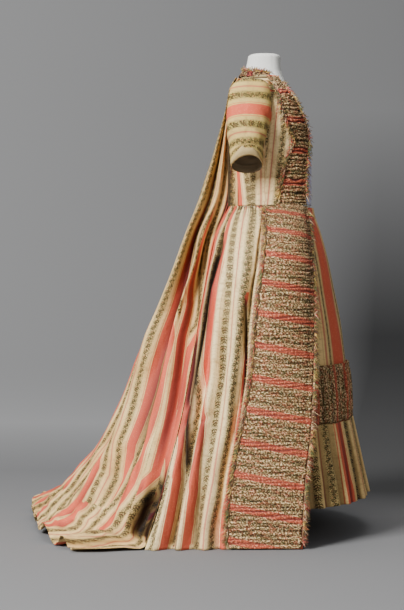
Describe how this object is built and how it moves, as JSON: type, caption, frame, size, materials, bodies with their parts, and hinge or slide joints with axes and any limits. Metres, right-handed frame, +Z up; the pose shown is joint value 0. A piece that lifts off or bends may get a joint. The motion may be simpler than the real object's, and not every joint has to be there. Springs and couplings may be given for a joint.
{
  "type": "robe a la francaise with its petticoat on a limbless dress form",
  "caption": "Open striped silk gown with gathered trimmings, pleated sack back and short train over a flounced petticoat, worn by a limbless dress form on a stand.",
  "frame": {"origin": "middle of the underside of the stand's round foot, on the floor", "axes": "+Z up; the wearer would face -Y, so the wearer's right is -X and the train runs towards +Y"},
  "size_m": [1.1002, 1.0554, 1.416],
  "materials": {
    "striped_silk": "crisp cream silk with coral stripes and columns of small sprigs, soft sheen",
    "gathered_silk": "the same silk closely gathered, its stripes crosswise, mottled by the gathers",
    "fly_fringe": "knotted silk floss tufts in dark brown, green, red and straw",
    "lilac_cotton": "plain matte pale lilac cotton",
    "form_cover": "off-white matte cover cloth stretched smooth",
    "stand_metal": "satin dark grey paint"
  },
  "bodies": {
    "root": {"bodice_back": "striped_silk", "bodice_front_left": "striped_silk", "bodice_front_right": "striped_silk", "petticoat": "striped_silk", "petticoat_flounce": "striped_silk", "robe_skirt_left": "striped_silk", "robe_skirt_right": "striped_silk", "sack_back": "striped_silk", "sleeve_left": "striped_silk", "sleeve_right": "striped_silk", "trim_bodice_left": "gathered_silk", "trim_bodice_right": "gathered_silk", "trim_neck": "gathered_silk", "trim_skirt_left": "gathered_silk", "trim_skirt_right": "gathered_silk", "petticoat_heading": "gathered_silk", "fringe_skirt_left_back": "fly_fringe", "fringe_skirt_left_front": "fly_fringe", "fringe_skirt_right_back": "fly_fringe", "fringe_skirt_right_front": "fly_fringe", "stomacher": "lilac_cotton", "form_torso": "form_cover", "form_pole": "stand_metal", "form_foot": "stand_metal"}
  },
  "joints": []
}
